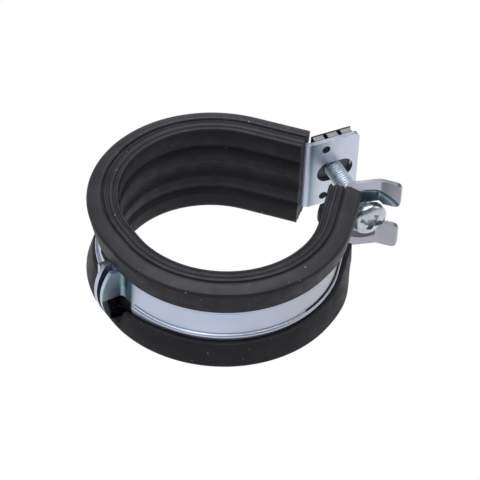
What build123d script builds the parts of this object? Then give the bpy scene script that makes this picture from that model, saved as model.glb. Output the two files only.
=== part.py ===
"""Rubber lined pipe clamp: two steel half rings in a soft rubber channel, hooked together at one
side and drawn shut by one screw at the other.

Millimetres. The pipe runs along Z through the origin, which is the middle of the bore in the rear
half. X is parallel to the rear closing flange, and +Y points from the pipe to the rear half.
The front half is shown swung open about the hinge, which is how the clamp is delivered.
"""
from math import atan2, cos, degrees, radians, sin, sqrt, tan
import os

from build123d import *

# Bore, strip and rubber
seat_radius = 30.5
rubber_under_strip = 5.1
strip_thickness = 1.5
strip_width = 26.7
bead_radius = 0.85
bead_height = 5.2
rubber_fit = 0.1

# Rubber channel section
rubber_half_width = 16.9
crease_radius = 40.8
crease_height = 14.9
lip_edge_radius = 38.7
lip_edge_height = 6.2
seat_groove_depth = 0.8
seat_groove_height = 8.9

# How far each half is rolled round, and the straight tail that follows
rear_roll_end = 46.7
front_roll_end = -29.8
rear_tail = 20.0
front_tail = 22.0
rear_rubber_tail = 18.4
front_rubber_tail = 16.6

# Hinge: angle round the pipe, its distance from the pipe axis, and the swing
hinge_angle = 190.7
hinge_radius = 37.2
delivered_opening = 6.9
closing_swing = 10.5
hinge_gap = 0.8
hinge_flange_reach = 7.0
hinge_flange_round = 16.5
hinge_flange_middle = -3.6
hinge_flange_top = 6.0
rear_hinge_offset = 1.8
front_hinge_offset = 2.6
hinge_bend = 1.25
tongue_low = 0.0
tongue_high = 4.1
tongue_length = 3.3
tongue_hook = 4.4
tongue_clearance = 0.6
tongue_window_length = 13.0
neck_window_top = -4.6
neck_window_low = -12.0
neck_window_length = 7.0
neck_window_rim = 1.8

# Closing flanges
rear_flange_end = 57.0
flange_corner = 1.6
flange_bend = 2.0
screw_offset = 48.7
slot_length = 12.9
slot_width = 7.8
slot_shift = 0.0
pip_hole_radius = 1.45
pip_offset = 45.0
pip_height = 10.0
fork_turn = 67.4
fork_length = 10.35
fork_tab_turn = 28.8
fork_tab_length = 7.0
fork_mouth = 8.0
dish_radius = 10.4
dish_floor_radius = 8.8
dish_depth = 1.3
tab_corner = 1.9

# Screw, M6, and what it screws into
screw_radius = 3.0
screw_length = 32.2
thread_fit = 0.05
head_radius = 5.8
head_height = 3.9
head_standoff = 11.7
head_room = 0.8
recess_depth = 1.9
slot_bar = 8.6
cross_bar = 5.4
recess_turn = 25.0
ring_radius = 4.6
ring_thickness = 1.0
ring_place = 6.2
nut_thickness = 2.2
nut_width = 13.4
nut_inset = 2.0
tooth_width = 3.5
tooth_gap = 1.4
tooth_depth = 2.2
retainer_thickness = 0.5

# Connection boss, M8, welded to the back
boss_angle = 104.0
boss_radius = 6.0
boss_length = 9.2
boss_bore = 3.4
boss_floor = 1.2

strip_inner = seat_radius + rubber_under_strip
strip_middle = strip_inner + strip_thickness / 2
strip_outer = strip_inner + strip_thickness
half_strip = strip_width / 2
closing_past_round = closing_swing - delivered_opening
hinge = Vector(hinge_radius * cos(radians(hinge_angle)), hinge_radius * sin(radians(hinge_angle)), 0)


def heading(angle):
    """Unit vector in the XY plane."""
    return Vector(cos(radians(angle)), sin(radians(angle)), 0)


outward = heading(hinge_angle)
onward = heading(hinge_angle + 90)


def to_delivered(shape):
    """Swings a front piece from the round, closed place to the delivered one."""
    return shape.rotate(Axis(hinge, (0, 0, 1)), -delivered_opening)


def bent_strip(start, angle, moves, height):
    """Sheet of strip thickness, bent along moves: ("line", length) or ("arc", radius, turn)."""
    left, right = [], []
    here, half = start, strip_thickness / 2
    caps = [start]
    caps_angle = [angle]
    for move in moves:
        side = heading(angle + 90)
        if move[0] == "line":
            there = here + heading(angle) * move[1]
            left.append(Line(here + side * half, there + side * half))
            right.append(Line(here - side * half, there - side * half))
        else:
            _, radius, turn = move
            sign = 1 if turn > 0 else -1
            centre = here + side * (sign * radius)
            middle = heading(angle + turn / 2 - 90 * sign)
            end = heading(angle + turn - 90 * sign)
            begin = heading(angle - 90 * sign)
            for chain, reach in ((left, radius - sign * half), (right, radius + sign * half)):
                chain.append(ThreePointArc(centre + begin * reach, centre + middle * reach,
                                           centre + end * reach))
            there = centre + end * radius
            angle += turn
        here = there
    caps.append(here)
    caps_angle.append(angle)
    ends = [Line(c + heading(a + 90) * half, c - heading(a + 90) * half)
            for c, a in zip(caps, caps_angle)]
    face = make_face(left + right + ends)
    return extrude(face, height / 2, both=True, dir=(0, 0, 1))


def box_at(centre, along, length, width, low, high):
    """Block with its length on a heading in the XY plane, between two heights."""
    block = Box(length, width, high - low)
    return block.rotate(Axis.Z, along).translate((centre.X, centre.Y, (low + high) / 2))


def prism(points, low, high):
    """Upright prism on a polygon."""
    face = make_face(Polyline(*points, close=True))
    return extrude(face, high - low, dir=(0, 0, 1)).translate((0, 0, low))


def rubber_section():
    """Channel section of the rubber, its x the distance from the pipe axis and its y the height."""
    floor = strip_inner - rubber_fit
    roof = strip_outer + rubber_fit
    wall = half_strip + rubber_fit
    top = rubber_half_width
    upper = [
        (seat_radius, seat_groove_height / 2),
        (seat_radius + seat_groove_depth, seat_groove_height),
        (seat_radius, seat_groove_height + 2.4),
        (seat_radius, top - 1.0),
        (seat_radius + 0.7, top - 0.1),
        (seat_radius + 1.5, top - 0.8),
        (seat_radius + 2.2, top),
        (seat_radius + 3.9, top),
        (seat_radius + 4.9, top - 1.6),
        (seat_radius + 5.7, top - 0.1),
        (seat_radius + 6.8, top + 0.1),
        (crease_radius - 0.5, crease_height + 0.7),
        (crease_radius, crease_height - 0.2),
        (lip_edge_radius, lip_edge_height + 0.4),
        (lip_edge_radius - 0.5, lip_edge_height),
        (roof, lip_edge_height),
        (roof, wall),
        (floor, wall),
    ]
    lower = [(r, -z) for r, z in reversed(upper)]
    outline = [(seat_radius + seat_groove_depth, 0)] + upper + lower
    return make_face(Plane.XZ * Polyline(*outline, close=True))


def rolled(section, start, turn):
    """Section swept round the pipe axis from one angle through a turn."""
    return revolve(section, Axis.Z, turn).rotate(Axis.Z, start)


def tailed(section, angle, direction, length):
    """Section swept straight on from the roll's end."""
    return extrude(section.rotate(Axis.Z, angle), length, dir=tuple(heading(direction)))


def bead_section():
    """The two stiffening beads beside the lips."""
    upper = Pos(strip_outer, bead_height) * Circle(bead_radius)
    lower = Pos(strip_outer, -bead_height) * Circle(bead_radius)
    return Plane.XZ * (upper + lower)


def hinge_cut(side, relief):
    """Space beyond the end of a half's rubber at the hinge; side is 1 for the front half."""
    corner = hinge + onward * (side * hinge_gap / 2)
    inward = heading(hinge_angle + 180 - relief * side)
    away = onward * (-side * 40)
    reach = outward * 14
    points = [corner + inward * 50, corner, corner + reach, corner + reach + away,
              corner + inward * 50 + away]
    return prism([tuple(p) for p in points], -30, 30)


def hinge_pocket():
    """Room in the rubber round the hinge flanges, the tongue and its hook."""
    lips = box_at(hinge + outward * 3.6, hinge_angle, 9.0, 14.0, -half_strip, 0)
    under = box_at(hinge - outward * 1.6, hinge_angle, 3.4, 13.0,
                   tongue_low - 1.0, tongue_high + 1.0)
    return lips + under


def rear_rubber():
    section = rubber_section()
    turn = hinge_angle + 8 - rear_roll_end
    body = rolled(section, rear_roll_end, turn)
    body += tailed(section, rear_roll_end, rear_roll_end - 90, rear_rubber_tail)
    relief = (closing_past_round + 0.4) / 2
    return body - hinge_cut(-1, relief) - hinge_pocket()


def front_rubber():
    section = rubber_section()
    start = hinge_angle - 8
    body = rolled(section, start, 360 + front_roll_end - start)
    body += tailed(section, front_roll_end, front_roll_end + 90, front_rubber_tail)
    relief = (closing_past_round + 0.4) / 2
    return to_delivered(body - hinge_cut(1, relief) - hinge_pocket())


def hinge_bend_angle(offset):
    """Angle between the hinge line and the place where the strip starts to bend outwards."""
    bend = hinge_bend + strip_thickness / 2
    return degrees(atan2(offset + bend, sqrt((strip_middle + bend) ** 2 - (offset + bend) ** 2)))


def hinge_flange_start(offset):
    """Distance from the pipe axis at which the flange leaves its bend."""
    bend = hinge_bend + strip_thickness / 2
    return sqrt((strip_middle + bend) ** 2 - (offset + bend) ** 2)


def hinge_outline(rim=0.0):
    """Upright drum whose edge is the rounded outline of a hinge flange."""
    centre = hinge + outward * (hinge_flange_reach - hinge_flange_round)
    drum = Cylinder(hinge_flange_round - rim, 40)
    place = (centre.X, centre.Y, hinge_flange_middle)
    return drum.rotate(Axis.X, 90).rotate(Axis.Z, hinge_angle).translate(place)


def trim_hinge_flange(band, side, offset):
    """Rounds the hinge flange, and ends the strip short of it above the flange's top."""
    block = box_at(hinge + outward * 10, hinge_angle, 20, 12, -20, 20)
    band -= block - hinge_outline()
    reach = offset + hinge_bend + strip_thickness
    above = box_at(hinge + outward * 2 + onward * (side * reach / 2), hinge_angle, 12, reach,
                   hinge_flange_top, 20)
    return band - above


def rear_band():
    bend = hinge_bend + strip_thickness / 2
    flange = flange_bend + strip_thickness / 2
    start = outward * (hinge_radius + hinge_flange_reach + 1) - onward * rear_hinge_offset
    rise = hinge_radius + hinge_flange_reach + 1 - hinge_flange_start(rear_hinge_offset)
    lean = hinge_bend_angle(rear_hinge_offset)
    roll = hinge_angle - lean - rear_roll_end
    take = flange * tan(radians((90 - rear_roll_end) / 2))
    corner_x = strip_middle * cos(radians(rear_roll_end)) + rear_tail * sin(radians(rear_roll_end))
    moves = [("line", rise), ("arc", bend, 90 - lean), ("arc", strip_middle, -roll),
             ("line", rear_tail - take), ("arc", flange, 90 - rear_roll_end),
             ("line", rear_flange_end - corner_x - take)]
    band = bent_strip(start, hinge_angle + 180, moves, strip_width)
    beads = rolled(bead_section(), rear_roll_end, hinge_angle - 12 - rear_roll_end)
    beads += tailed(bead_section(), rear_roll_end, rear_roll_end - 90, rear_rubber_tail - 4)
    band = trim_hinge_flange(band + beads, -1, rear_hinge_offset)
    band -= tongue_window()
    band -= screw_slot() + pip_holes(pip_hole_radius)
    return round_corners(band, rear_flange_end, flange_corner)


def rear_flange_middle():
    """Distance of the rear closing flange's middle from the X axis."""
    return strip_middle * sin(radians(rear_roll_end)) - rear_tail * cos(radians(rear_roll_end))


def across(shape):
    """Turns a shape drawn in X and height so that it goes through the rear flange."""
    return shape.rotate(Axis.X, 90)


def screw_slot():
    slot = SlotOverall(slot_length, slot_width)
    body = across(extrude(slot, 6, both=True))
    return body.translate((screw_offset + slot_shift, rear_flange_middle(), 0))


def pip_holes(radius):
    upper = across(Cylinder(radius, 12)).translate((pip_offset, rear_flange_middle(), pip_height))
    lower = across(Cylinder(radius, 12)).translate((pip_offset, rear_flange_middle(), -pip_height))
    return upper + lower


def round_corners(band, reach, radius):
    """Rounds the two outer corners of a flange that ends at x = reach."""
    for side in (1, -1):
        block = Box(radius, 8, radius)
        block = block.translate((reach - radius / 2, rear_flange_middle(), side * (half_strip - radius / 2)))
        round_ = across(Cylinder(radius, 10))
        round_ = round_.translate((reach - radius, rear_flange_middle(), side * (half_strip - radius)))
        band -= block - round_
    return band


def front_corner():
    """Where the middle lines of the front tail and the fork meet, and the fork's heading."""
    tail_heading = front_roll_end + 90
    point = heading(front_roll_end) * strip_middle + heading(tail_heading) * front_tail
    return point, tail_heading - fork_turn


def delivered_point(point):
    """A front point, swung to the delivered place."""
    arm = point - hinge
    turn = radians(-delivered_opening)
    return hinge + Vector(arm.X * cos(turn) - arm.Y * sin(turn), arm.X * sin(turn) + arm.Y * cos(turn), 0)


def fork_seat():
    """Where the screw's axis meets the fork, in the delivered place, and the fork's heading."""
    corner, angle = front_corner()
    corner = delivered_point(corner)
    angle -= delivered_opening
    run = (screw_offset - corner.X) / cos(radians(angle))
    return corner + heading(angle) * run, angle


def in_fork(shape):
    """Places a shape, drawn with its x along the fork and its z through the plate, at the seat."""
    seat, angle = fork_seat()
    frame = Plane(origin=seat, x_dir=tuple(heading(angle)), z_dir=tuple(heading(angle - 90)))
    return frame * shape


def fork_dish():
    """Round dish pressed into the fork, as the pair of cones it adds behind and takes in front."""
    half = strip_thickness / 2
    added = Pos(0, 0, -half - dish_depth / 2) * Cone(dish_floor_radius + 0.6, dish_radius + 0.6, dish_depth)
    taken = Pos(0, 0, half - dish_depth / 2) * Cone(dish_floor_radius, dish_radius, dish_depth)
    taken += Pos(0, 0, half + head_room / 2) * Cylinder(head_radius + head_room, head_room)
    return added, taken


def front_band():
    bend = hinge_bend + strip_thickness / 2
    fold = 1.5 + strip_thickness / 2
    start = outward * (hinge_radius + hinge_flange_reach + 1) + onward * front_hinge_offset
    rise = hinge_radius + hinge_flange_reach + 1 - hinge_flange_start(front_hinge_offset)
    lean = hinge_bend_angle(front_hinge_offset)
    roll = 360 + front_roll_end - hinge_angle - lean
    take = fold * tan(radians(fork_turn / 2))
    tab_take = fold * tan(radians(fork_tab_turn / 2))
    moves = [("line", rise), ("arc", bend, lean - 90), ("arc", strip_middle, roll),
             ("line", front_tail - take), ("arc", fold, -fork_turn),
             ("line", fork_length - take - tab_take), ("arc", fold, -fork_tab_turn),
             ("line", fork_tab_length - tab_take)]
    band = bent_strip(start, hinge_angle + 180, moves, strip_width)
    beads = rolled(bead_section(), hinge_angle + 14, 360 + front_roll_end - hinge_angle - 14)
    beads += tailed(bead_section(), front_roll_end, front_roll_end + 90, front_rubber_tail - 3)
    band = trim_hinge_flange(band + beads, 1, front_hinge_offset)
    band -= neck_window()
    band += tongue()
    band = to_delivered(band)
    return cut_fork(band)


def tongue_window():
    """Opening in the rear half that the tongue of the front half passes through."""
    return box_at(hinge - outward * 1.5 - onward * (tongue_window_length / 2), hinge_angle, 8.0,
                  tongue_window_length, tongue_low - tongue_clearance, tongue_high + tongue_clearance)


def neck_window():
    """Opening across the hinge bend, below the neck, that leaves only a rim of the flange."""
    start = 1.6
    middle = start + (neck_window_length - start) / 2
    block = box_at(hinge + outward * 1.5 + onward * middle, hinge_angle, 9.0,
                   neck_window_length - start, neck_window_low, neck_window_top)
    edges = block.edges().filter_by(Axis(hinge, outward))
    return fillet(edges, 2.0) & hinge_outline(neck_window_rim)


def tongue():
    """Tongue of the front half that runs through the rear flange and hooks behind it."""
    low = hinge + outward * (strip_inner - hinge_radius)
    depth = 5.2 + tongue_length
    run = box_at(low + outward * (strip_thickness / 2) + onward * (5.2 - tongue_length) / 2, hinge_angle,
                 strip_thickness, depth, tongue_low, tongue_high)
    hook_reach = tongue_hook + hinge_radius - strip_inner
    hook = box_at(low + outward * (hook_reach / 2) - onward * (tongue_length + strip_thickness / 2),
                  hinge_angle, hook_reach, strip_thickness, tongue_low, tongue_high)
    return run + hook


def cut_fork(band):
    added, taken = fork_dish()
    keep = box_at(fork_seat()[0], fork_seat()[1], 60, 30, -half_strip, half_strip)
    band += in_fork(added) & keep & fork_block()
    band -= in_fork(taken)
    mouth = Pos(12, 0, 0) * Box(24, fork_mouth, 30) + Cylinder(fork_mouth / 2, 30)
    band -= in_fork(mouth)
    return round_tabs(band)


def fork_block():
    """Keeps the back of the dish between the two bends of the fork."""
    corner, angle = front_corner()
    corner = delivered_point(corner)
    angle -= delivered_opening
    middle = corner + heading(angle) * (fork_length / 2 + 0.6)
    return box_at(middle, angle, fork_length - 1.6, 20, -half_strip, half_strip)


def round_tabs(band):
    """Rounds the four corners of the two tabs."""
    corner, angle = front_corner()
    tip = delivered_point(corner + heading(angle) * fork_length
                          + heading(angle - fork_tab_turn) * fork_tab_length)
    along = angle - delivered_opening - fork_tab_turn
    frame = Plane(origin=tip, x_dir=tuple(heading(along)), z_dir=tuple(heading(along - 90)))
    for height, side in ((half_strip, 1), (-half_strip, -1), (fork_mouth / 2, -1), (-fork_mouth / 2, 1)):
        place = height - side * tab_corner / 2
        block = Pos(-tab_corner / 2, place, 0) * Box(tab_corner, tab_corner, 6)
        round_ = Pos(-tab_corner, height - side * tab_corner, 0) * Cylinder(tab_corner, 8)
        band -= frame * (block - round_)
    return band


def nut_place():
    """Front face of the nut plate, which is the back of the rear flange."""
    return rear_flange_middle() + strip_thickness / 2


def nut_plate():
    middle = rear_flange_end - nut_inset - nut_width / 2
    plate = Box(nut_width, nut_thickness, strip_width)
    plate = plate.translate((middle, nut_place() + nut_thickness / 2, 0))
    pitch = tooth_width + tooth_gap
    for side in (1, -1):
        for step in (-0.5, 0.5):
            notch = SlotOverall(2 * tooth_depth, tooth_gap, rotation=90)
            notch = across(extrude(notch, 4, both=True))
            place = (middle + step * pitch, nut_place() + nut_thickness / 2, side * half_strip)
            plate -= notch.translate(place)
    collar = across(Cylinder(screw_radius + 1.8, 3.0))
    plate += collar.translate((screw_offset, nut_place() + nut_thickness + 1.5, 0))
    plate -= across(Cylinder(screw_radius + thread_fit, 30)).translate((screw_offset, nut_place(), 0))
    return plate - pip_holes(pip_hole_radius)


def nut_retainer():
    """Thin dark clip behind the nut plate, with two pips that hold plate and clip to the flange."""
    middle = rear_flange_end - nut_inset - nut_width / 2
    back = nut_place() + nut_thickness
    sheet = Box(nut_width + 0.6, retainer_thickness, strip_width + 0.2)
    sheet = sheet.translate((middle, back + retainer_thickness / 2, 0))
    sheet -= across(Cylinder(screw_radius + 1.9, 10)).translate((screw_offset, back, 0))
    length = nut_thickness + strip_thickness - 0.4
    for side in (1, -1):
        pip = across(Cylinder(pip_hole_radius - 0.05, length))
        sheet += pip.translate((pip_offset, back - length / 2, side * pip_height))
    return sheet


def screw_recess():
    """Cross and slot recess, cut from the top of the head."""
    recess = Box(slot_bar, 1.3, 2 * recess_depth)
    recess += Box(cross_bar, 2.0, 2 * recess_depth)
    recess += Box(2.0, cross_bar, 2 * recess_depth)
    return recess.rotate(Axis.Z, recess_turn).translate((0, 0, -head_height))


def closing_screw():
    """M6 pan head screw, drawn with its shank up along Z and laid along Y."""
    shank = Pos(0, 0, screw_length / 2) * Cylinder(screw_radius, screw_length)
    shank = chamfer(shank.edges().group_by(Axis.Z)[-1], 0.8)
    rim = 0.45 * head_height
    dome = ThreePointArc((head_radius, -rim), (head_radius * 0.66, -0.88 * head_height),
                         (0, -head_height))
    outline = Polyline((0, -head_height), (0, 0), (head_radius, 0), (head_radius, -rim))
    head = revolve(Plane.XZ * make_face([dome, outline]), Axis.Z, 360)
    screw = shank + head - screw_recess()
    return screw.rotate(Axis.X, -90).translate((screw_offset, -head_standoff, 0))


def captive_ring():
    ring = Cylinder(ring_radius, ring_thickness) - Cylinder(screw_radius + 0.08, ring_thickness)
    return across(ring).translate((screw_offset, -ring_place + ring_thickness / 2, 0))


def connection_boss(band):
    """Round boss with a blind tapped bore, welded on the outside of the rear half."""
    mouth = strip_outer + boss_length
    root = strip_inner
    depth = boss_length - boss_floor
    body = Pos(0, 0, (root + mouth) / 2) * Cylinder(boss_radius, mouth - root)
    body = chamfer(body.edges().group_by(Axis.Z)[-1], 0.5)
    body -= Pos(0, 0, mouth - depth / 2) * Cylinder(boss_bore, depth)
    body = body.rotate(Axis.Y, 90).rotate(Axis.Z, boss_angle)
    return body - Cylinder(strip_outer, 40) - band


def write(name, shape):
    export_step(shape, f"parts/{name}.step")


os.makedirs("parts", exist_ok=True)
rear = rear_band()
write("rear_band", rear)
write("front_band", front_band())
write("rear_liner", rear_rubber())
write("front_liner", front_rubber())
write("closing_screw", closing_screw())
write("captive_ring", captive_ring())
write("nut_plate", nut_plate())
write("nut_retainer", nut_retainer())
write("connection_boss", connection_boss(rear))
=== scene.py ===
"""A rubber lined pipe clamp on a white floor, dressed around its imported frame. Metres."""
import math

import bmesh
import bpy
from mathutils import Matrix, Vector


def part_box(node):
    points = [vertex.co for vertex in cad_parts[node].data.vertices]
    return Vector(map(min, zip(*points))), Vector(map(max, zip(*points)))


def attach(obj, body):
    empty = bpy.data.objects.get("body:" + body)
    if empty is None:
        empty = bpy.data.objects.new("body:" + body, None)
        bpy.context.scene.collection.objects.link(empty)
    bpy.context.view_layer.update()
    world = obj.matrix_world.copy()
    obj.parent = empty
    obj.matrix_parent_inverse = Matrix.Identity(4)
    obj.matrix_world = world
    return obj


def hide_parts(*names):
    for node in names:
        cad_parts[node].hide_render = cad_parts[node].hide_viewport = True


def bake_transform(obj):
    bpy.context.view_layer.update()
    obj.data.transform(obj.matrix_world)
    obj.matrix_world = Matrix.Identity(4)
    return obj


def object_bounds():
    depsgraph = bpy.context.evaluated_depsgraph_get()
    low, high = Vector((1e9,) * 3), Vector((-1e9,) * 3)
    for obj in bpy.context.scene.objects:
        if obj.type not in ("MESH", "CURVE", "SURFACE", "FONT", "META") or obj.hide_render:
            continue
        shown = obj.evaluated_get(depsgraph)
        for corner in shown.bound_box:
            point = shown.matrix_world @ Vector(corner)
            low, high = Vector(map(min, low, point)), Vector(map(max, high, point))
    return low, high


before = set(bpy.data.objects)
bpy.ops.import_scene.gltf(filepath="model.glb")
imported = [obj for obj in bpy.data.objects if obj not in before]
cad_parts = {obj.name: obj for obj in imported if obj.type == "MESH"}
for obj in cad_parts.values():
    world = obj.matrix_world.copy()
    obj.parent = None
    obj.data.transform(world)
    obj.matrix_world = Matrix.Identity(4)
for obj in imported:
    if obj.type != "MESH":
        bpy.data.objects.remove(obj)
cad_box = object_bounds()

MM = 0.001

# Lengths below are in millimetres and angles in degrees, unless a line says otherwise.

# The rubber channel: its section as distance from the pipe axis and height, upper half
SECTION = (
    (31.5, 0.0), (31.3, 1.6), (30.5, 3.2), (30.5, 6.0), (30.7, 7.2), (31.6, 8.9),
    (31.0, 10.2), (30.5, 11.0), (30.5, 15.7), (31.0, 16.8), (31.5, 16.8), (31.9, 16.15),
    (32.3, 16.25), (32.8, 16.9), (33.5, 17.0), (34.0, 16.3), (34.4, 16.3), (34.8, 16.9),
    (35.3, 16.7), (35.6, 15.9), (35.9, 15.9), (36.2, 16.8), (37.2, 17.0), (40.3, 15.7),
    (40.8, 14.8), (38.85, 6.5), (38.4, 6.2), (37.2, 6.3), (37.2, 13.45), (35.5, 13.45),
)
SECTION_ROUND = 0.22
REAR_ROLL_END = 46.7
FRONT_ROLL_END = -29.8
REAR_TAIL = 18.4
FRONT_TAIL = 16.6
STEPS_PER_TURN = 180
TAIL_STEPS = 14
STRIP_CREASE = 35

# How the strip lies: where a lip's edge lifts off, and where its crease moves, in and out
LIP_RADII = (36.6, 37.2)
LIP_HEIGHT = 15.0
LIP_FADE = 8.0
CREASE_RADII = (38.9, 40.8)
LOWER_LIP_DROP = 1.1
HINGE_LIP_DROP = 2.3
HINGE_LIP_LENGTH = 26.0
TAIL_LENGTH = 36.0
UPPER_LIP_SPREAD = 1.6
UPPER_LIP_DROP = 1.7
UPPER_CREASE_OUT = 0.4
LOWER_LIP_SPREAD = 0.6
LOWER_CREASE_BULGE = 0.4
LOWER_BULGE_SPAN = (-14.0, -2.0)
LOWER_CREASE_IN = 1.4

# The swell of the inner wall at the front tail's end
END_SWELL = 2.6
END_SWELL_LENGTH = 7.0
END_SWELL_RADIUS = 32.0
END_SWELL_TOP = (7.0, 11.0)

# The hinge, how far open the front half is, and the pocket in the rubber under it
HINGE_ANGLE = 190.7
HINGE_RADIUS = 37.2
OPENING = 6.9
HINGE_BLEND = 6.0
POCKET_OUT = 4.9
POCKET_DOWN = 6.9
POCKET_SIZE = (10.4, 12.4, 13.4)

# The screw; its head, shank and thread run a little way into one another
SCREW_X = 48.7
SINK = 0.1
HEAD_UNDERSIDE = -11.7
HEAD_RADIUS = 5.8
HEAD_HEIGHT = 3.9
HEAD_RIM = 1.75
HEAD_CHAMFER = 0.25
HEAD_PLUG = 0.3
HEAD_STEPS = 64
HEAD_CREASE = 40
DOME_STEP = 9
SHANK_RADIUS = 3.0
SHANK_LENGTH = 32.2
SHANK_CHAMFER = 0.4
SHANK_STEPS = 48
SHANK_CREASE = 30
THREAD_PITCH = 1.0
THREAD_DEPTH = 0.36
THREAD_START = 2.4
THREAD_RUN_OUT = 1.2
THREAD_FOOT = 0.86
THREAD_CREST = 0.34
CREST_CLEARANCE = 0.02
STEPS_PER_THREAD = 30
RECESS_DEPTH = 1.9
RECESS_TURN = 25
SLOT_SIZE = (9.0, 1.5)
CROSS_SIZE = (6.0, 2.2)

# Most of a noise lies between these values
NOISE_MIDDLE = (0.3, 0.7)

# Rubber: its matt skin, painted shade on its upright walls, painted light on the faces that lie
# upward, and dust
RUBBER_COLOR = (0.0165, 0.0155, 0.02)
RUBBER_SPECULAR = 0.22
RUBBER_WALLS_PAINTED_SHADE = ((0.35, (0.0098, 0.009, 0.0125)), (0.7, (0.0155, 0.0145, 0.0195)))
RUBBER_TOPS_PAINTED_LIGHT = ((0.35, (0.019, 0.018, 0.0225)), (0.7, (0.029, 0.0275, 0.034)))
UPWARD_FOR_PAINTED_LIGHT = (0.3, 0.9)
DUST = (0.775, 0.80)
DUST_COLOR = (0.16, 0.16, 0.16)

# Zinc on rolled strip
ZINC_COLOR = (0.48, 0.54, 0.66)
ZINC_CLOUD = ((0.3, (0.45, 0.51, 0.63)), (0.7, (0.52, 0.575, 0.70)))

# The nut plate: its front face, and how far out its toothed ends start
NUT_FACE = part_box("nut_plate")[0].y / MM
NUT_FACE_FADE = 0.5
NUT_ENDS = (12.4, 12.9)
NUT_COLOR = (0.36, 0.35, 0.355)
NUT_MOTTLE = ((0.3, (0.28, 0.27, 0.275)), (0.7, (0.38, 0.37, 0.375)))
NUT_SHADE = (0.075, 0.08, 0.088)

# The retainer
CLIP_COLOR = (0.014, 0.019, 0.027)
CLIP_SPECULAR = 0.2

# The front half's neck beside the hinge: painted shade and painted lighter bands by distance from
# the hinge's face, and painted shade under it
NECK_REACH = 12.0
NECK_PAINTED_SHADE_TONES = (
    (3.3, ZINC_COLOR), (3.36, (0.20, 0.31, 0.36)), (4.0, (0.24, 0.36, 0.41)),
    (4.4, (0.40, 0.50, 0.55)), (4.9, (0.05, 0.10, 0.13)), (7.4, (0.07, 0.14, 0.18)),
    (8.2, (0.30, 0.40, 0.46)), (8.8, ZINC_COLOR),
)
NECK_LEFT = (-24.0, -26.0)
NECK_SHADE = (0.012, 0.013, 0.015)
NECK_SHADE_FACE = (3.3, 3.36)
NECK_SHADE_END = (8.0, 7.6)
NECK_SHADE_INWARD = (4.8, 4.4)
NECK_SHADE_TOP = (-4.3, -4.9)

# The front half's ring: its grey towards the right, and the painted shadow line over its lower bead
GREY_START = -14.0
GREY_END = 14.0
GREY_COLOR = (0.43, 0.445, 0.51)
BEAD_SHADOW_HEIGHTS = (-4.5, -3.7)
BEAD_LINE_EDGE = 0.1
BEAD_LINE_START = 13.0
BEAD_LINE_FADE = 1.0
BEAD_SHADOW_COLOR = (0.05, 0.055, 0.07)

# The rear flange: painted reflection and shade by distance from the pipe axis, darker in its bend
BEND_START = (39.0, 39.4)
BEND_REACH = 60.0
BEND_PAINTED_REFLECTION = (
    (39.2, ZINC_COLOR), (39.9, (0.20, 0.28, 0.33)), (41.4, (0.42, 0.48, 0.55)),
    (44.0, (0.57, 0.615, 0.71)),
)

# The fork of the front half: painted shade on its tabs and its lower foot, and painted reflection
# rings in the dish above it, by distance from the screw
TAB_START = 53.2
TAB_FADE = 0.6
TAB_PAINTED_SHADE = (0.36, 0.365, 0.41)
FOOT_START = (43.0, 45.0)
FOOT_PAINTED_SHADE = (0.38, 0.375, 0.435)
FOOT_TOP = -3.0
DISH_BOTTOM = 1.0
DISH_REACH = 12.0
DISH_EDGE = (10.9, 10.3)
DISH_PAINTED_REFLECTION_RINGS = (
    (7.2, (0.13, 0.18, 0.215)), (8.3, (0.15, 0.205, 0.245)), (8.7, (0.40, 0.46, 0.50)),
    (9.1, (0.22, 0.29, 0.34)), (9.7, (0.05, 0.08, 0.105)), (10.1, (0.10, 0.15, 0.19)),
    (10.6, (0.44, 0.49, 0.56)),
)

# Camera
CAMERA_AZIMUTH = 26.98
CAMERA_HEIGHT_ANGLE = 43.42
CAMERA_ROLL = 2.88
CAMERA_DISTANCE = 887 * MM
CAMERA_AIM = Vector((6.04, -6.22, 0)) * MM
CAMERA_LENS = 209.5
CAMERA_SENSOR = 36

# Studio, in metres and watts: each lamp's name, place, size and power
LAMPS = (
    ("overhead", (0.0, 0.1, 1.2), (1.2, 1.2), 24.0),
    ("key", (-0.9, -0.7, 0.8), (0.7, 0.5), 1.2),
    ("fill", (0.9, -0.5, 0.5), (0.6, 0.6), 1.5),
)
FLOOR_SIZE = 6
FLOOR_GAP = 0.0001
FLOOR_COLOR = (0.4, 0.4, 0.4, 1)
ROOM_COLOR = (0.95, 0.97, 1, 1)
ROOM_STRENGTH = 0.24


def heading(angle):
    """Unit vector in the floor plane, from degrees."""
    return Vector((math.cos(math.radians(angle)), math.sin(math.radians(angle)), 0))


def about_z(angle):
    """Rotation about Z, from degrees."""
    return Matrix.Rotation(math.radians(angle), 3, "Z")


HINGE = heading(HINGE_ANGLE) * HINGE_RADIUS
OUTWARD = heading(HINGE_ANGLE)
ONWARD = heading(HINGE_ANGLE + 90)


# ---------------------------------------------------------------- materials


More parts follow.
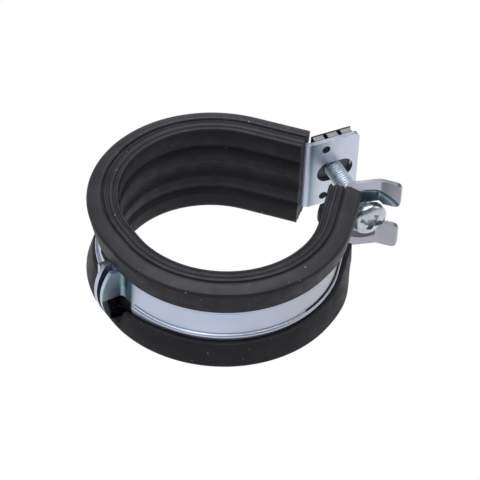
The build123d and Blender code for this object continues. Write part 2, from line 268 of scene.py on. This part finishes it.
class Finish:
    """A material under construction: one principled shader, and helpers for its nodes."""

    def __init__(self, name, color, roughness, metallic=0.0):
        self.material = bpy.data.materials.new(name)
        self.material.use_nodes = True
        self.tree = self.material.node_tree
        self.shader = self.tree.nodes["Principled BSDF"]
        self.shader.inputs["Base Color"].default_value = (*color, 1)
        self.shader.inputs["Roughness"].default_value = roughness
        self.shader.inputs["Metallic"].default_value = metallic
        spot = self.node("ShaderNodeTexCoord")
        self.place = spot.outputs["Object"]
        self.facing = spot.outputs["Normal"]

    def node(self, kind, **settings):
        """A new node, with sockets or properties set by name."""
        made = self.tree.nodes.new(kind)
        for name, value in settings.items():
            if name in made.inputs:
                made.inputs[name].default_value = value
            else:
                setattr(made, name, value)
        return made

    def link(self, source, target):
        """Joins an output to an input."""
        self.tree.links.new(source, target)

    def noise(self, scale, detail=3.0, roughness=0.5, stretch=(1, 1, 1)):
        """Noise over the object, 0 to 1."""
        spread = self.node("ShaderNodeMapping")
        spread.inputs["Scale"].default_value = stretch
        self.link(self.place, spread.inputs["Vector"])
        noise = self.node("ShaderNodeTexNoise", Scale=scale, Detail=detail)
        noise.inputs["Roughness"].default_value = roughness
        self.link(spread.outputs[0], noise.inputs["Vector"])
        return noise.outputs["Fac"]

    def ramp(self, source, *stops):
        """A colour ramp from (position, colour) stops."""
        ramp = self.node("ShaderNodeValToRGB")
        elements = ramp.color_ramp.elements
        while len(elements) < len(stops):
            elements.new(0.5)
        for element, (position, color) in zip(elements, stops):
            element.position = position
            element.color = (*color, 1)
        self.link(source, ramp.inputs[0])
        return ramp.outputs[0]

    def tones(self, distance, reach, stops):
        """Colours by a distance: stops of (millimetres, colour), up to a reach."""
        share = self.fade(distance, (0, reach))
        return self.ramp(share, *((length / reach, color) for length, color in stops))

    def span(self, source, low, high, start=0.0, end=1.0):
        """Maps low..high of a number onto start..end, clamped."""
        span = self.node("ShaderNodeMapRange")
        for socket, value in zip(span.inputs[1:5], (low, high, start, end)):
            socket.default_value = value
        self.link(source, span.inputs[0])
        return span.outputs[0]

    def fade(self, distance, ends):
        """0 to 1 from the first of two lengths in millimetres to the second."""
        return self.span(distance, ends[0] * MM, ends[1] * MM)

    def mix(self, factor, first, second):
        """Blends two colours, each a socket or plain numbers."""
        mix = self.node("ShaderNodeMix", data_type="RGBA")
        self.link(factor, mix.inputs[0])
        for socket, value in ((mix.inputs[6], first), (mix.inputs[7], second)):
            if isinstance(value, tuple):
                socket.default_value = (*value, 1)
            else:
                self.link(value, socket)
        return mix.outputs[2]

    def math(self, operation, first, second=None):
        """Arithmetic on one or two numbers."""
        math_node = self.node("ShaderNodeMath", operation=operation)
        self.link(first, math_node.inputs[0])
        if second is not None:
            self.link(second, math_node.inputs[1])
        return math_node.outputs[0]

    def both(self, first, second):
        """1 only where two numbers are both 1."""
        return self.math("MULTIPLY", first, second)

    def part_of_place(self, axis):
        """One coordinate of the point, in metres."""
        split = self.node("ShaderNodeSeparateXYZ")
        self.link(self.place, split.inputs[0])
        return split.outputs[axis]

    def past(self, start):
        """Vector to the point from a start in millimetres; in metres."""
        away = self.node("ShaderNodeVectorMath", operation="SUBTRACT")
        self.link(self.place, away.inputs[0])
        away.inputs[1].default_value = tuple(start * MM)
        return away.outputs[0]

    def along(self, start, direction):
        """Distance of the point past a start, on a direction, in metres."""
        reach = self.node("ShaderNodeVectorMath", operation="DOT_PRODUCT")
        self.link(self.past(start), reach.inputs[0])
        reach.inputs[1].default_value = tuple(direction)
        return reach.outputs["Value"]

    def from_screw(self):
        """Distance of the point from the screw's line, in metres."""
        flat = self.node("ShaderNodeVectorMath", operation="MULTIPLY")
        self.link(self.past(Vector((SCREW_X, 0, 0))), flat.inputs[0])
        flat.inputs[1].default_value = (1, 0, 1)
        reach = self.node("ShaderNodeVectorMath", operation="LENGTH")
        self.link(flat.outputs[0], reach.inputs[0])
        return reach.outputs["Value"]

    def bump(self, source, distance, strength=1.0):
        """Raises the surface by a number; the distance is in metres."""
        bump = self.node("ShaderNodeBump", Strength=strength, Distance=distance)
        self.link(source, bump.inputs["Height"])
        self.link(bump.outputs[0], self.shader.inputs["Normal"])

    def color(self, source):
        """Sets the base colour."""
        self.link(source, self.shader.inputs["Base Color"])

    def roughness(self, noise, smooth, rough):
        """Sets a roughness that wanders between two values with a noise."""
        wander = self.span(noise, *NOISE_MIDDLE, smooth, rough)
        self.link(wander, self.shader.inputs["Roughness"])


def black_rubber():
    """Moulded rubber: near black, with a fine skin, faint bloom, painted shade on its walls and
    painted light on its upward faces, and a few pale dust specks.
    """
    finish = Finish("black_rubber", RUBBER_COLOR, 0.55)
    finish.shader.inputs["Specular IOR Level"].default_value = RUBBER_SPECULAR
    facing = finish.node("ShaderNodeSeparateXYZ")
    finish.link(finish.facing, facing.inputs[0])
    bloom = finish.noise(90, 4)
    walls, tops = finish.ramp(bloom, *RUBBER_WALLS_PAINTED_SHADE), finish.ramp(bloom, *RUBBER_TOPS_PAINTED_LIGHT)
    # Painted light: faces that lie upward take the lighter tops, upright walls the darker painted
    # shade
    skin = finish.mix(finish.span(facing.outputs[2], *UPWARD_FOR_PAINTED_LIGHT), walls, tops)
    specks = finish.span(finish.noise(1100, 1, 0.3), *DUST)
    finish.color(finish.mix(specks, skin, DUST_COLOR))
    finish.roughness(finish.noise(260, 3), 0.46, 0.62)
    finish.bump(finish.noise(2600, 2), 0.00003, 0.5)
    return finish.material


def zinc_strip(name):
    """Bright zinc on rolled strip: bluish, with fine drawn lines round the band."""
    finish = Finish(name, ZINC_COLOR, 0.34, 1.0)
    cloud = finish.ramp(finish.noise(60, 3), *ZINC_CLOUD)
    finish.color(cloud)
    finish.roughness(finish.noise(120, 3, 0.6, (1, 1, 14)), 0.28, 0.42)
    finish.bump(finish.noise(400, 3, 0.6, (1, 1, 8)), 0.00002, 0.3)
    return finish, cloud


def rear_strip():
    """The rear half's strip: painted reflection and shade make its flange darker in the bend."""
    finish, cloud = zinc_strip("zinc_strip")
    across = finish.part_of_place(0)
    # Painted reflection and shade on the flange, darker in its bend
    bend = finish.tones(across, BEND_REACH, BEND_PAINTED_REFLECTION)
    finish.color(finish.mix(finish.fade(across, BEND_START), cloud, bend))
    return finish.material


def strip_body(finish, cloud, across, height):
    """Tones of the front half's ring: grey to the right, and a painted shadow line over the lower
    bead.
    """
    body = finish.mix(finish.fade(across, (GREY_START, GREY_END)), cloud, GREY_COLOR)
    bottom, top = BEAD_SHADOW_HEIGHTS
    above = finish.fade(height, (bottom, bottom + BEAD_LINE_EDGE))
    below = finish.fade(height, (top, top - BEAD_LINE_EDGE))
    onward = finish.fade(across, (BEAD_LINE_START, BEAD_LINE_START + BEAD_LINE_FADE))
    # Painted shadow: a dark line over the lower bead
    line = finish.both(finish.both(below, above), onward)
    return finish.mix(line, body, BEAD_SHADOW_COLOR)


def fork(finish, body, across, height):
    """Painted shade on the front half's flange, on its foot and its tabs, and painted reflection
    rings in the dish round the screw.
    """
    low = finish.fade(height, (DISH_BOTTOM, FOOT_TOP))
    foot = finish.both(finish.fade(across, FOOT_START), low)
    tabs = finish.fade(across, (TAB_START, TAB_START + TAB_FADE))
    # Painted shade on the foot and the tabs
    toned = finish.mix(tabs, finish.mix(foot, body, FOOT_PAINTED_SHADE), TAB_PAINTED_SHADE)
    reach = finish.from_screw()
    high = finish.fade(height, (FOOT_TOP, DISH_BOTTOM))
    dish = finish.both(finish.fade(reach, DISH_EDGE), high)
    # Painted reflection: dark and light rings in the dish round the screw
    return finish.mix(dish, toned, finish.tones(reach, DISH_REACH, DISH_PAINTED_REFLECTION_RINGS))


def neck(finish, dished, across, height):
    """Painted shade and painted lighter bands on the front half's neck at the hinge, and the painted
    shade under it.
    """
    past = finish.along(HINGE, heading(HINGE_ANGLE + 90 - OPENING))
    left = finish.fade(across, NECK_LEFT)
    # Painted shade and lighter bands on the neck, by distance from the hinge's face
    necked = finish.mix(left, dished, finish.tones(past, NECK_REACH, NECK_PAINTED_SHADE_TONES))
    face = finish.fade(past, NECK_SHADE_FACE)
    inward = finish.fade(finish.along(HINGE, OUTWARD), NECK_SHADE_INWARD)
    hidden = finish.math("MAXIMUM", face, inward)
    near = finish.both(finish.fade(past, NECK_SHADE_END), hidden)
    under = finish.both(left, finish.fade(height, NECK_SHADE_TOP))
    return finish.mix(finish.both(near, under), necked, NECK_SHADE)


def front_strip():
    """The front half's strip, with the tones, painted shade and painted reflections of its ring, its
    fork and its neck.
    """
    finish, cloud = zinc_strip("zinc_front")
    across, height = finish.part_of_place(0), finish.part_of_place(2)
    body = strip_body(finish, cloud, across, height)
    dished = fork(finish, body, across, height)
    finish.color(neck(finish, dished, across, height))
    return finish.material


def zinc_fastener(
    name="zinc_fastener", dull=(0.42, 0.46, 0.50), bright=(0.58, 0.62, 0.66), rough=0.24
):
    """Zinc on small turned and pressed parts: slightly mottled."""
    finish = Finish(name, bright, rough, 1.0)
    finish.color(finish.ramp(finish.noise(300, 3), (0.3, dull), (0.7, bright)))
    finish.roughness(finish.noise(500, 2), rough - 0.06, rough + 0.1)
    finish.bump(finish.noise(900, 2), 0.00002, 0.3)
    return finish.material


def nut_zinc():
    """The nut plate: greyer zinc, dark where the flange shades it, paler on its toothed ends."""
    finish = Finish("zinc_nut", NUT_COLOR, 0.42, 1.0)
    grey = finish.ramp(finish.noise(300, 3), *NUT_MOTTLE)
    ends = finish.fade(finish.math("ABSOLUTE", finish.part_of_place(2)), NUT_ENDS)
    behind = finish.fade(finish.part_of_place(1), (NUT_FACE, NUT_FACE + NUT_FACE_FADE))
    finish.color(finish.mix(finish.both(ends, behind), NUT_SHADE, grey))
    return finish.material


def dark_clip():
    """The retainer: blackened spring steel, nearly dull."""
    finish = Finish("dark_clip", CLIP_COLOR, 0.5)
    finish.shader.inputs["Specular IOR Level"].default_value = CLIP_SPECULAR
    finish.roughness(finish.noise(400, 3), 0.4, 0.6)
    finish.bump(finish.noise(1500, 2), 0.00002, 0.4)
    return finish.material


RUBBER = black_rubber()
STRIP = rear_strip()
FRONT_STRIP = front_strip()
FASTENER = zinc_fastener()
THREAD = zinc_fastener("zinc_thread", (0.48, 0.53, 0.60), (0.58, 0.63, 0.70), 0.5)
NUT = nut_zinc()
CLIP = dark_clip()


def dress(node, material):
    """Gives a piece of the frame its material."""
    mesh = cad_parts[node].data
    mesh.materials.clear()
    mesh.materials.append(material)


dress("rear_band", STRIP)
dress("front_band", FRONT_STRIP)
dress("connection_boss", STRIP)
dress("captive_ring", FASTENER)
dress("nut_plate", NUT)
dress("nut_retainer", CLIP)


# ---------------------------------------------------------------- mesh helpers, in millimetres


def piece(name, shape, material):
    """Turns a bmesh drawn in millimetres into an object in metres."""
    bmesh.ops.remove_doubles(shape, verts=shape.verts, dist=0.001)
    bmesh.ops.recalc_face_normals(shape, faces=shape.faces)
    bmesh.ops.scale(shape, vec=(MM, MM, MM), verts=shape.verts)
    mesh = bpy.data.meshes.new(name)
    shape.to_mesh(mesh)
    shape.free()
    mesh.materials.append(material)
    made = bpy.data.objects.new(name, mesh)
    bpy.context.scene.collection.objects.link(made)
    return made


def shade(made, angle):
    """Smooth faces, with edges sharper than the angle in degrees kept crisp."""
    for face in made.data.polygons:
        face.use_smooth = True
    made.data.set_sharp_from_angle(angle=math.radians(angle))


def carve(made, cutter):
    """Cuts one object from another, for good."""
    cut = made.modifiers.new("carve", "BOOLEAN")
    cut.operation = "DIFFERENCE"
    cut.solver = "EXACT"
    cut.object = cutter
    bpy.context.view_layer.update()
    seen = made.evaluated_get(bpy.context.evaluated_depsgraph_get())
    carved = bpy.data.meshes.new_from_object(seen)
    made.modifiers.clear()
    made.data = carved
    bpy.data.objects.remove(cutter)


def box(size, turn, centre):
    """A box about a centre, turned about Z by degrees."""
    shape = bmesh.new()
    bmesh.ops.create_cube(shape, size=1)
    bmesh.ops.scale(shape, vec=size, verts=shape.verts)
    bmesh.ops.rotate(shape, matrix=about_z(turn), verts=shape.verts)
    bmesh.ops.translate(shape, vec=centre, verts=shape.verts)
    return shape


def edges_of(geometry):
    """Only the edges among what an operator returns."""
    return [g for g in geometry if isinstance(g, bmesh.types.BMEdge)]


# ---------------------------------------------------------------- the rubber strip


def section_loop(shape):
    """Closed outline of the channel section, in the XZ plane, with its corners rounded."""
    lower = [(r, -z) for r, z in reversed(SECTION[1:])]
    corners = [shape.verts.new((r, 0, z)) for r, z in list(SECTION) + lower]
    for a, b in zip(corners, corners[1:] + corners[:1]):
        shape.edges.new((a, b))
    bmesh.ops.bevel(shape, geom=shape.verts[:], offset=SECTION_ROUND, segments=2, profile=0.5,
                    affect="VERTICES", clamp_overlap=True, material=-1)
    return shape.edges[:]


def extend(shape, edges, direction, length, steps):
    """Extrudes a loop straight on, in steps, and returns the last loop."""
    for _ in range(steps):
        grown = bmesh.ops.extrude_edge_only(shape, edges=edges)["geom"]
        verts = [g for g in grown if isinstance(g, bmesh.types.BMVert)]
        edges = edges_of(grown)
        bmesh.ops.translate(shape, vec=direction * (length / steps), verts=verts)
    return edges


def ease(value, start, end):
    """0 before start, 1 past end, smooth between."""
    share = min(max((value - start) / (end - start), 0), 1)
    return share * share * (3 - 2 * share)


def opened(point):
    """A point of the closed, round clamp, swung with the front half; it bends over at the hinge."""
    arm = point - HINGE
    past = arm.dot(ONWARD)
    if point.x > 0 and past > 0:
        past = HINGE_BLEND
    if point.x > 0 and past < 0:
        past = -HINGE_BLEND
    share = ease(past, -HINGE_BLEND, HINGE_BLEND)
    return HINGE + Matrix.Rotation(-math.radians(OPENING) * share, 3, "Z") @ arm


def on_strip(point):
    """Where a point is: its turn, which side, the way out, its radius, and how far past the roll."""
    turn = math.degrees(math.atan2(point.y, point.x)) % 360
    front_side = point.y < 0 or point.x < 0 and turn > HINGE_ANGLE
    roll_end = FRONT_ROLL_END if front_side else REAR_ROLL_END
    past = point.dot(heading(roll_end + 90)) * (1 if front_side else -1)
    on_tail = past > 0 and point.x > 0
    out = heading(roll_end) if on_tail else heading(turn)
    radius = point.dot(out)
    if not on_tail:
        past = math.radians(turn - FRONT_ROLL_END - 360) * radius
    return turn, front_side and turn > HINGE_ANGLE, out, radius, past


def drawn_in(point):
    """The strip as it lies: lip edges lift off at the hinge and the front end, and creases shift."""
    turn, near_tail, out, radius, past = on_strip(point)
    if near_tail and radius < END_SWELL_RADIUS:
        start = FRONT_TAIL - END_SWELL_LENGTH
        swell = ease(past, start, FRONT_TAIL - END_SWELL_LENGTH / 3)
        return point - out * (END_SWELL * swell * (1 - ease(point.z, *END_SWELL_TOP)))
    end = ease(past, FRONT_TAIL - TAIL_LENGTH, FRONT_TAIL) if near_tail else 0
    edge = ease(LIP_HEIGHT - abs(point.z), 0, LIP_FADE) * ease(radius, *LIP_RADII)
    crease = ease(radius, *CREASE_RADII)
    if point.z > 0:
        spread = UPPER_LIP_SPREAD * end * edge + UPPER_CREASE_OUT * end * crease
        return point + out * spread - Vector((0, 0, UPPER_LIP_DROP * end * edge))
    drawn = LOWER_CREASE_IN * ease(past, 0, FRONT_TAIL)
    bulge = LOWER_CREASE_BULGE * ease(past, *LOWER_BULGE_SPAN) - drawn
    spread = LOWER_LIP_SPREAD * end * edge + (bulge * crease if near_tail else 0)
    from_hinge = math.radians(turn - HINGE_ANGLE) * radius
    beside = 1 - ease(from_hinge, 0, HINGE_LIP_LENGTH) if turn > HINGE_ANGLE else 0
    drop = (LOWER_LIP_DROP + HINGE_LIP_DROP * beside) * edge
    return point + out * spread - Vector((0, 0, drop))


def channel():
    """The channel drawn round the closed clamp, tail to tail, then let lie and opened."""
    shape = bmesh.new()
    first = section_loop(shape)
    bmesh.ops.rotate(shape, matrix=about_z(REAR_ROLL_END), verts=shape.verts)
    bmesh.ops.translate(shape, vec=heading(REAR_ROLL_END - 90) * REAR_TAIL, verts=shape.verts)
    edges = extend(shape, first, heading(REAR_ROLL_END + 90), REAR_TAIL, TAIL_STEPS)
    turn = 360 + FRONT_ROLL_END - REAR_ROLL_END
    spun = bmesh.ops.spin(shape, geom=edges, axis=(0, 0, 1), cent=(0, 0, 0),
                          angle=math.radians(turn), steps=int(STEPS_PER_TURN * turn / 360),
                          use_merge=False, use_duplicate=False)
    edges = edges_of(spun["geom_last"])
    edges = extend(shape, edges, heading(FRONT_ROLL_END + 90), FRONT_TAIL, TAIL_STEPS)
    for loop in (first, edges):
        bmesh.ops.contextual_create(shape, geom=loop)
    for vert in shape.verts:
        vert.co = opened(drawn_in(vert.co))
    return shape


def rubber_strip():
    """The liner: one channel of rubber round both halves, bending at the hinge."""
    strip = piece("rubber_strip", channel(), RUBBER)
    centre = HINGE + OUTWARD * POCKET_OUT - Vector((0, 0, POCKET_DOWN))
    carve(strip, piece("pocket", box(POCKET_SIZE, HINGE_ANGLE, centre), RUBBER))
    shade(strip, STRIP_CREASE)
    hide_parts("rear_liner", "front_liner")
    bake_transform(strip)


# ---------------------------------------------------------------- the screw, drawn up its own Z


def turned(shape, profile, steps):
    """Revolves a profile of (radius, height) points about Z."""
    verts = [shape.verts.new((r, 0, z)) for r, z in profile]
    edges = [shape.edges.new(pair) for pair in zip(verts, verts[1:])]
    bmesh.ops.spin(shape, geom=verts + edges, axis=(0, 0, 1), cent=(0, 0, 0),
                   angle=2 * math.pi, steps=steps, use_merge=True, use_duplicate=False)


def laid_down(shape):
    """Lays a shape drawn up Z along the screw's line, from the head's underside."""
    upright = Matrix.Rotation(math.radians(-90), 3, "X")
    bmesh.ops.rotate(shape, matrix=upright, verts=shape.verts)
    bmesh.ops.translate(shape, vec=(SCREW_X, HEAD_UNDERSIDE, 0), verts=shape.verts)


def head_profile():
    """From the plug in the shank, round the rim and over the dome."""
    base = [(0, HEAD_PLUG), (SHANK_RADIUS, HEAD_PLUG), (SHANK_RADIUS, 0),
            (HEAD_RADIUS - HEAD_CHAMFER, 0), (HEAD_RADIUS, -HEAD_CHAMFER)]
    crown = HEAD_HEIGHT - HEAD_RIM
    dome = []
    for angle in range(0, 90, DOME_STEP):
        turn = math.radians(angle)
        dome.append((HEAD_RADIUS * math.cos(turn), -HEAD_RIM - crown * math.sin(turn)))
    return base + dome + [(0, -HEAD_HEIGHT)]


def screw_head():
    """Domed pan head with its combined slot and cross recess."""
    shape = bmesh.new()
    turned(shape, head_profile(), HEAD_STEPS)
    laid_down(shape)
    head = piece("screw_head", shape, FASTENER)
    for size in (SLOT_SIZE, CROSS_SIZE, CROSS_SIZE[::-1]):
        cutter = box((*size, 2 * RECESS_DEPTH), RECESS_TURN, (0, 0, -HEAD_HEIGHT))
        laid_down(cutter)
        carve(head, piece("recess", cutter, FASTENER))
    return head


def thread(shape, root):
    """One rib wound up the shank from the neck, standing on the root radius."""
    half = THREAD_PITCH / 2
    crest = SHANK_RADIUS - CREST_CLEARANCE
    foot = root - SINK
    rib = [(foot, -half * THREAD_FOOT), (crest, -half * THREAD_CREST),
           (crest, half * THREAD_CREST), (foot, half * THREAD_FOOT)]
    end = shape.faces.new([shape.verts.new((r, 0, THREAD_START + z)) for r, z in rib])
    turns = (SHANK_LENGTH - THREAD_START - THREAD_RUN_OUT) / THREAD_PITCH
    steps = int(turns * STEPS_PER_THREAD)
    bmesh.ops.spin(shape, geom=[end], axis=(0, 0, 1), cent=(0, 0, 0),
                   dvec=(0, 0, THREAD_PITCH * turns / steps), angle=2 * math.pi * turns,
                   steps=steps, use_merge=False, use_duplicate=False)


def screw_shank():
    """Threaded shank: a plain neck, then a thread spun up to the tip."""
    shape = bmesh.new()
    root = SHANK_RADIUS - THREAD_DEPTH
    core = [(0, -SINK), (root, -SINK), (root, SHANK_LENGTH - SHANK_CHAMFER),
            (root - SHANK_CHAMFER, SHANK_LENGTH), (0, SHANK_LENGTH)]
    turned(shape, core, SHANK_STEPS)
    plain = [(0, -SINK), (SHANK_RADIUS, -SINK),
             (SHANK_RADIUS, THREAD_START - SHANK_CHAMFER), (root, THREAD_START), (0, THREAD_START)]
    turned(shape, plain, SHANK_STEPS)
    thread(shape, root)
    laid_down(shape)
    return piece("screw_shank", shape, THREAD)


def screw():
    """The head and the shank, both on the screw's body."""
    head = screw_head()
    shank = screw_shank()
    shade(head, HEAD_CREASE)
    shade(shank, SHANK_CREASE)
    for part in (head, shank):
        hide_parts("closing_screw")
        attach(part, "screw")


rubber_strip()
screw()


# ---------------------------------------------------------------- studio


def seen_straight(tree):
    """1 for what is seen directly, in a reflection or through glass; 0 for light that spreads."""
    path = tree.nodes.new("ShaderNodeLightPath")
    total = path.outputs["Is Camera Ray"]
    for ray in ("Is Glossy Ray", "Is Transmission Ray"):
        both = tree.nodes.new("ShaderNodeMath")
        both.operation = "MAXIMUM"
        tree.links.new(total, both.inputs[0])
        tree.links.new(path.outputs[ray], both.inputs[1])
        total = both.outputs[0]
    return total


def floor_material():
    """White where it is seen straight, and grey where it only passes light on."""
    material = bpy.data.materials.new("white_floor")
    material.use_nodes = True
    tree = material.node_tree
    surface = tree.nodes["Principled BSDF"]
    surface.inputs["Base Color"].default_value = FLOOR_COLOR
    surface.inputs["Roughness"].default_value = 0.9
    glow = tree.nodes.new("ShaderNodeEmission")
    glow.inputs["Strength"].default_value = 1.0
    mix = tree.nodes.new("ShaderNodeMixShader")
    tree.links.new(seen_straight(tree), mix.inputs[0])
    tree.links.new(surface.outputs[0], mix.inputs[1])
    tree.links.new(glow.outputs[0], mix.inputs[2])
    tree.links.new(mix.outputs[0], tree.nodes["Material Output"].inputs["Surface"])
    return material


def floor():
    """A plain floor just under the clamp."""
    mesh = bpy.data.meshes.new("floor")
    shape = bmesh.new()
    bmesh.ops.create_grid(shape, x_segments=1, y_segments=1, size=FLOOR_SIZE)
    bmesh.ops.translate(shape, vec=(0, 0, cad_box[0][2] - FLOOR_GAP), verts=shape.verts)
    shape.to_mesh(mesh)
    shape.free()
    plane = bpy.data.objects.new("floor", mesh)
    bpy.context.scene.collection.objects.link(plane)
    mesh.materials.append(floor_material())


def lamp(name, place, size, power):
    """An area lamp aimed at the clamp."""
    data = bpy.data.lights.new(name, "AREA")
    data.shape = "RECTANGLE"
    data.size, data.size_y = size
    data.energy = power
    light = bpy.data.objects.new(name, data)
    light.location = place
    aim = Vector((0, 0, 0)) - Vector(place)
    light.rotation_euler = aim.to_track_quat("-Z", "Y").to_euler()
    bpy.context.scene.collection.objects.link(light)


def studio():
    """The floor, the lamps and the room's even light."""
    floor()
    for settings in LAMPS:
        lamp(*settings)
    world = bpy.data.worlds.new("room")
    bpy.context.scene.world = world
    world.use_nodes = True
    room = world.node_tree.nodes["Background"]
    room.inputs["Color"].default_value = ROOM_COLOR
    room.inputs["Strength"].default_value = ROOM_STRENGTH


def camera():
    """The camera, on the -Y side and turned towards -X."""
    turn = math.radians(CAMERA_AZIMUTH)
    tilt = math.radians(CAMERA_HEIGHT_ANGLE)
    level = Vector((-math.sin(turn), -math.cos(turn), 0))
    stand = level * math.cos(tilt) + Vector((0, 0, math.sin(tilt)))
    data = bpy.data.cameras.new("camera")
    data.lens = CAMERA_LENS
    data.sensor_width = CAMERA_SENSOR
    eye = bpy.data.objects.new("camera", data)
    look = (-stand).to_track_quat("-Z", "Y").to_matrix().to_4x4()
    roll = Matrix.Rotation(math.radians(CAMERA_ROLL), 4, "Z")
    place = Matrix.Translation(CAMERA_AIM + stand * CAMERA_DISTANCE)
    eye.matrix_world = place @ look @ roll
    bpy.context.scene.collection.objects.link(eye)
    bpy.context.scene.camera = eye


studio()
camera()
bpy.context.scene.view_settings.view_transform = "Standard"
